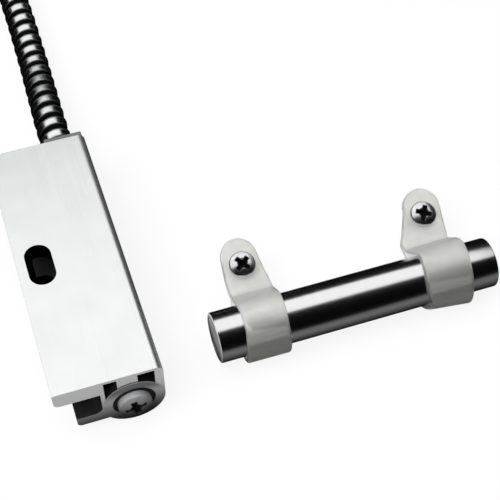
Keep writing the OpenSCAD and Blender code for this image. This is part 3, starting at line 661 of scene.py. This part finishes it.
# The cap's square head stands up behind the front skin a little higher than the solid
capHead = {"bevel": 0.5, "from": 17.0, "lift": 0.4}
cap = broken("cableCap", "cable_cap", "switch", capPlastic, capHead["bevel"])
points = np.zeros(3 * len(cap.data.vertices))
cap.data.vertices.foreach_get("co", points)
points = points.reshape(-1, 3)
points[:, 2] += capHead["lift"] * mm * (points[:, 2] > capHead["from"] * mm)
cap.data.vertices.foreach_set("co", points.ravel())
print("cap dressed")

# Pan-head screws with a cross recess: one in the housing's end, one in each clip
endScrew = {
    "head": 4.1, "height": 2.6, "neck": 2.1, "neckLength": 0.6, "shank": 2.1, "length": 8, "point": 2,
    "pitch": 1.4, "threadDepth": 0.42, "turn": 12,
}
clipScrew = {
    "head": 3.4, "height": 2.2, "neck": 1.95, "neckLength": 2.5, "shank": 1.75, "length": 9.5, "point": 2.5,
    "pitch": 1.27, "threadDepth": 0.4,
}


def softStep(x, width):
    # 0 below -width/2, 1 above width/2, and smooth between
    return ease(x / width + 0.5)


recessShape = {
    "wing": 0.17, "reach": 0.62, "cone": 0.38,      # shares of the head's radius
    "depth": 0.55, "rise": 0.55, "coneSlope": 1.1,  # shares of the head's height, of the depth and of the cone
    "wingEdge": 0.12, "reachEdge": 0.16,            # how soft the wings' sides and ends are
}


def crossRecess(x, y, head, height):
    # Depth of the recess at (x, y): two wings at right angles, each deepest at the middle, and a cone between them
    r = recessShape
    half, reach = r["wing"] * head, r["reach"] * head
    wings = [softStep(half - np.abs(b), r["wingEdge"]) * softStep(reach - np.abs(a), r["reachEdge"])
             * (1 - r["rise"] * np.abs(a) / reach) for a, b in ((x, y), (y, x))]
    cone = np.clip(r["coneSlope"] - np.hypot(x, y) / (r["cone"] * head), 0, 1)
    return r["depth"] * height * np.maximum(np.maximum(*wings), cone)


headShape = {
    "dome": 2.1, "shoulder": 0.5, "bend": (25, 50, 75, 90), "underEdge": 0.12,      # bend in degrees down the shoulder
    "rings": 58, "columns": 96, "pole": 0.02, "paintedShadeFrom": 0.25,
}
threadShape = {"rings": 84, "start": 0.05, "runIn": 0.8, "crest": 1.4, "taper": 0.8, "tip": 0.02}


def screw(name, size, turn, origin, across, axis, body, node, material):
    # One skin from the middle of the head's dome to the screw's point. On the dome, height = crown of a sphere minus
    # the recess. On the thread, radius = shank - depth |2 f - 1|^crest, where f is the fraction of a turn
    s, h, t = size, headShape, threadShape
    q = np.linspace(0, 2 * np.pi, h["columns"], endpoint=False)[None]
    dome, shoulder = h["dome"] * s["head"], h["shoulder"]
    rim = s["head"] - shoulder
    rho = np.linspace(h["pole"], rim, h["rings"])[:, None] + 0 * q
    height = s["height"] - dome + np.sqrt(dome**2 - rho**2)
    recess = crossRecess(rho * np.cos(q), rho * np.sin(q), s["head"], s["height"])
    height -= recess
    bend = np.radians(h["bend"])[:, None] + 0 * q
    edge = s["height"] - dome + math.sqrt(dome**2 - rim**2)
    side = np.array([[s["head"], h["underEdge"]], [s["head"] - h["underEdge"], 0], [s["neck"], 0],
                     [s["neck"], -s["neckLength"]]])
    along = np.linspace(s["neckLength"] + t["start"], s["length"], t["rings"])[:, None]
    f = (along / s["pitch"] + q / (2 * np.pi)) % 1
    taper = np.clip((s["length"] - along) / s["point"], t["tip"], 1)
    start = ease((along - s["neckLength"]) / t["runIn"])
    thread = s["shank"] - s["threadDepth"] * (1 - start * (1 - np.abs(2 * f - 1) ** t["crest"]))
    thread *= taper ** t["taper"]
    radius = np.concatenate([rho, rim + shoulder * np.sin(bend), side[:, :1] + 0 * q, thread])
    level = np.concatenate([height, edge - shoulder * (1 - np.cos(bend)), side[:, 1:] + 0 * q, -along + 0 * q])
    axis, across = np.array(axis, float), np.array(across, float)
    third = np.cross(axis, across)
    q = q + math.radians(turn)
    grid = (np.array(origin, float) + (radius * np.cos(q))[..., None] * across
            + (radius * np.sin(q))[..., None] * third + level[..., None] * axis)
    piece = shell(name, grid, body, material)
    # Painted shade in the cross recess, full where the recess is a quarter of the head's height deep
    paintedShade = np.zeros(grid.shape[:2])
    paintedShade[:len(rho)] = np.clip(recess / (h["paintedShadeFrom"] * s["height"]), 0, 1)
    darkness(piece, paintedShade)
    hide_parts(node)


plug = {
    "start": (12.7, -37.1, 7.6), "radius": 5.2, "pilot": 1.8, "length": 9, "chamfer": 0.35, "countersink": 0.4,
    "moat": (4.3, 4.8), "moatDepth": 0.25, "moatSlope": 0.1,
}
screw("endScrew", endScrew, endScrew["turn"], plug["start"], (1, 0, 0), (0, -1, 0), "switch", "end_screw",
      dullZinc)

# Plug: a turned ring round the screw, its outer edge chamfered and a shallow moat round the screw's head
p = plug
plugProfile = [
    (p["length"] - 1, p["pilot"]), (p["countersink"], p["pilot"]), (0, p["pilot"] + p["countersink"]),
    (0, p["moat"][0]), (p["moatDepth"], p["moat"][0] + p["moatSlope"]),
    (p["moatDepth"], p["moat"][1] - p["moatSlope"]), (0, p["moat"][1]),
    (0, p["radius"] - p["chamfer"]), (p["chamfer"], p["radius"]), (p["length"], p["radius"]),
    (p["length"], p["pilot"]),
]
endPlug = shell("endPlug", turned(plugProfile, p["start"], (0, 1, 0), (1, 0, 0)), "switch", plugPlastic,
                ring=True)
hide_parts("end_plug")
print("end screw and plug turned")

# The magnet's tube, a ring in section with its ends chamfered, and the two discs that close it
magnetTube = {"start": (35.8, -26.5, 7.5), "radius": 6.35, "bore": 5.55, "length": 73, "chamfer": 0.3, "bow": 0.09}
disc = {
    "thickness": 3, "recess": 0.15, "edge": 0.2, "dimple": 1.5, "dimpleDepth": 0.18, "dimpleSlope": 0.3, "pole": 0.02,
}
t = magnetTube
tubeProfile = [
    (0, t["bore"]), (0, t["radius"] - t["chamfer"]), (t["bow"], t["radius"] - t["bow"]), (t["chamfer"], t["radius"]),
    (t["length"] - t["chamfer"], t["radius"]), (t["length"] - t["bow"], t["radius"] - t["bow"]),
    (t["length"], t["radius"] - t["chamfer"]), (t["length"], t["bore"]),
]
tube = shell("magnetTube", turned(tubeProfile, t["start"], (1, 0, 0), (0, 0, 1), 160), "magnet", tubeBright,
             ring=True)
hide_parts("magnet_tube")
tube.data.materials.append(sawnEnd)                     # the cut ends aren't polished, and take the sawn end's painted shade toward their foot
tube.data.polygons.foreach_set("material_index", (np.abs(perFace(tube.data, "normal")[:, 0]) > 0.8).astype(int))
d = disc
discProfile = [
    (d["recess"] + d["dimpleDepth"], d["pole"]), (d["recess"] + d["dimpleDepth"], d["dimple"] - d["dimpleSlope"]),
    (d["recess"], d["dimple"]), (d["recess"], t["bore"] - d["edge"]), (d["recess"] + d["edge"], t["bore"]),
    (d["recess"] + d["thickness"], t["bore"]), (d["recess"] + d["thickness"], d["pole"]),
]
for name, node, place, facing in (("nearDisc", "near_disc", 0, 1), ("farDisc", "far_disc", t["length"], -1)):
    start = np.array(t["start"]) + [place, 0, 0]
    closing = shell(name, turned(discProfile, start, (facing, 0, 0), (0, 0, 1)), "magnet", discPlastic)
    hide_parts(node)
print("magnet tube closed")

# Nylon clips: one strap each, from the tip of its lower leaf round the tube, through the reverse bend and out along
# its upper leaf. Each station is (distance from the tube's axis, left edge, right edge), seen from above
strap = {
    "thickness": 1.15, "bend": 2.2, "leave": 22, "leafGap": 0.2, "edge": 0.5, "hole": 2.3, "past": 7.4,
    "leafSteps": 22, "loopSteps": 84, "wallSteps": 12, "leafStart": 0.4,
    "frontBulge": (90, 222), "backBulge": (240, 400),   # degrees round the loop between which it stands off the tube
    "paintedFrontShade": (304, 238),                            # and where its painted shade begins and is full
    "outlineStep": 0.1, "soften": 23, "tipHalf": 0.05, "cornerSteps": 5, "cornerShare": 0.8,
}
nearClip = {
    "place": 11.9, "reach": 17.2, "tip": 4.7, "tipMiddle": 1.0, "hole": 1.1, "screwTurn": 38, "screwShift": -0.15,
    "front": (0.7, 0.8), "back": (0, 0.1),
    "upper": [(-8, -5.65, 5.5), (-4.6, -5.6, 5.5), (-2, -5.25, 5.55), (2.5, -5.1, 5.9), (5.5, -5.15, 6.1),
              (7.5, -4.8, 6.5), (9.5, -4.05, 6.95), (12.5, -4.3, 6.8), (15, -4.15, 6.3)],
}
farClip = {
    "place": 59.9, "reach": 17.8, "tip": 4.9, "tipMiddle": 3.6, "hole": 2.9, "screwTurn": 62, "screwShift": -0.1,
    "front": (0.25, 1.3), "back": (0, 0.8),
    "upper": [(-8, -4.3, 5.8), (-7, -4.9, 5.8), (-6, -5.8, 5.8), (-4.6, -6.1, 5.8), (-1.3, -6.0, 5.9), (2, -5.6, 6.2),
              (5, -4.9, 6.6), (9, -4.9, 7.0), (11.8, -5.2, 7.6), (15, -3.6, 7.9)],
}
outside = magnetTube["radius"] + strap["thickness"]
leafStack = 2 * strap["thickness"] + strap["leafGap"]
tailTop = leafStack - outside


def clipFrame(clip):
    # The strap and the screw's point both rest on the surface, so the tail tilts up by
    # atan(depth/reach) - asin(outside/hypot(reach, depth)), about the tube's axis
    depth = outside + clipScrew["length"] - leafStack
    reach = clip["reach"]
    tilt = math.atan(depth / reach) - math.asin(outside / math.hypot(reach, depth))
    middle = np.array(magnetTube["start"]) + [clip["place"], 0, 0]
    return middle, np.array([0, math.cos(tilt), math.sin(tilt)]), np.array([0, -math.sin(tilt), math.cos(tilt)])


def bump(x, start, end):
    # 0 outside start..end and sin^2 between
    return np.sin(np.pi * np.clip((x - start) / (end - start), 0, 1)) ** 2


def strapLine(tipAt, tipEnd):
    # The middle of the strap's thickness as (v, h), v out along the tail and h up: the lower leaf, an arc round the
    # tube up to the leaving angle, a straight wall down from it, the arc of the reverse bend, and the upper leaf.
    # With it come how much of the clip's front and back bulge each point takes, and its painted shade. They
    # go by turn: degrees round the loop with 90 at its bottom and 270 at its top, then up to 400 along the bend
    s = strap
    half, leave = s["thickness"] / 2, math.radians(s["leave"])
    loop, back = magnetTube["radius"] + half, s["bend"] + half
    tail = tailTop - half
    drop = (loop * math.sin(leave) - tail - back * (1 - math.sin(leave))) / math.cos(leave)
    bendV = (loop + back) * math.cos(leave) + drop * math.sin(leave)
    nose = tipAt + (tipEnd - tipAt) * np.sin(np.linspace(0, np.pi / 2, s["leafSteps"]))
    flat = np.concatenate([nose[::-1], np.linspace(tipAt, s["leafStart"], s["leafSteps"])[1:]])
    a = np.linspace(-np.pi / 2, -2 * np.pi + leave, s["loopSteps"])
    wall = np.linspace(0, drop, s["wallSteps"])[1:-1]
    b = np.linspace(np.pi + leave, 1.5 * np.pi, s["leafSteps"])
    out = np.concatenate([np.linspace(bendV, tipAt, s["leafSteps"])[1:], nose[1:]])
    v = np.concatenate([flat, loop * np.cos(a), loop * math.cos(leave) + wall * math.sin(leave),
                        bendV + back * np.cos(b), out])
    h = np.concatenate([flat * 0 - outside + half, loop * np.sin(a), loop * math.sin(leave) - wall * math.cos(leave),
                        tail + back + back * np.sin(b), out * 0 + tail])
    turn = np.concatenate([flat * 0, -np.degrees(a), np.linspace(360 - s["leave"], 360, len(wall)),
                           np.linspace(360, 400, len(b)), out * 0])
    # Painted shade over the loop's underside and front, full up to turn 238 and gone past 304
    paintedFrontShade = ease((s["paintedFrontShade"][0] - turn) / (s["paintedFrontShade"][0] - s["paintedFrontShade"][1])) * (turn > 0)
    return np.stack([v, h], 1), bump(turn, *s["frontBulge"]), bump(turn, *s["backBulge"]), paintedFrontShade


def edges(clip, v, tipAt):
    # Left and right edge at each v: straight between stations, softened over a millimetre, then the tip's circle
    stations = np.array(clip["upper"] + [(tipAt, clip["tipMiddle"] - clip["tip"], clip["tipMiddle"] + clip["tip"])])
    fine = np.arange(stations[0, 0], tipAt + 0.01, strap["outlineStep"])
    kernel = np.hanning(strap["soften"])[1:-1]
    kernel /= kernel.sum()
    pad = len(kernel) // 2
    soft = [np.convolve(np.pad(np.interp(fine, stations[:, 0], stations[:, k]), pad, mode="edge"), kernel, "valid")
            for k in (1, 2)]
    width = np.sqrt(np.clip(clip["tip"] ** 2 - np.clip(v - tipAt, 0, None) ** 2, strap["tipHalf"] ** 2, None))
    past = v > tipAt
    left = np.where(past, clip["tipMiddle"] - width, np.interp(v, fine, soft[0]))
    right = np.where(past, clip["tipMiddle"] + width, np.interp(v, fine, soft[1]))
    return left, right


def nylonClip(name, clip, node):
    # The strap's section, a flat bar with rounded edges, is carried along its line, and its edges follow the outline
    tipEnd = clip["reach"] + strap["past"]
    tipAt = tipEnd - clip["tip"]
    line, frontShare, backShare, paintedFrontShade = strapLine(tipAt, tipEnd)
    along = np.gradient(line, axis=0)
    along /= np.linalg.norm(along, axis=1, keepdims=True)
    normal = np.stack([along[:, 1], -along[:, 0]], 1)
    left, right = edges(clip, line[:, 0], tipAt)
    middle, half = (left + right) / 2, (right - left) / 2
    corner = np.minimum(strap["edge"], half * strap["cornerShare"])[:, None]
    q = np.radians(np.linspace(0, 90, strap["cornerSteps"]) + 90 * np.arange(4)[:, None]).reshape(1, -1)
    signX, signN = np.repeat([[1, -1, -1, 1], [1, 1, -1, -1]], strap["cornerSteps"], axis=1)[:, None]
    x = middle[:, None] + signX * (half[:, None] - corner) + corner * np.cos(q)
    n = signN * (strap["thickness"] / 2 - strap["edge"]) + strap["edge"] * np.sin(q)
    across = ease((x - left[:, None]) / (right - left)[:, None])
    for share, (atLeft, atRight) in ((frontShare, clip["front"]), (backShare, clip["back"])):
        n = n - share[:, None] * (atLeft + (atRight - atLeft) * across)
    origin, out, up = clipFrame(clip)
    grid = (origin + x[..., None] * [1, 0, 0] + (line[:, None, :1] + n[..., None] * normal[:, None, :1]) * out
            + (line[:, None, 1:] + n[..., None] * normal[:, None, 1:]) * up)
    piece = shell(name, grid, "magnet", nylon)
    darkness(piece, np.broadcast_to(paintedFrontShade[:, None], grid.shape[:2]))
    cutHole(piece, origin + clip["hole"] * np.array([1, 0, 0]) + clip["reach"] * out, up)
    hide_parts(node)
    seat = origin + (clip["hole"] + clip["screwShift"]) * np.array([1, 0, 0]) + clip["reach"] * out + tailTop * up
    screw(name + "Screw", clipScrew, clip["screwTurn"], seat, (1, 0, 0), up, "magnet",
          node + "_screw", screwZinc)


def cutHole(piece, centre, axis):
    # Drills the screw hole through both leaves: centre + end axis + radius (cos q x + sin q third)
    q = np.linspace(0, 2 * np.pi, 48, endpoint=False)[None, :, None]
    across, third = np.array([1, 0, 0]), np.cross(axis, [1, 0, 0])
    ends = np.array([-outside - 2, 0.0])[:, None, None]
    cutAway(piece, centre + ends * axis + strap["hole"] * (np.cos(q) * across + np.sin(q) * third))


nylonClip("nearClip", nearClip, "near_clip")
nylonClip("farClip", farClip, "far_clip")
print("clips bent round the tube")
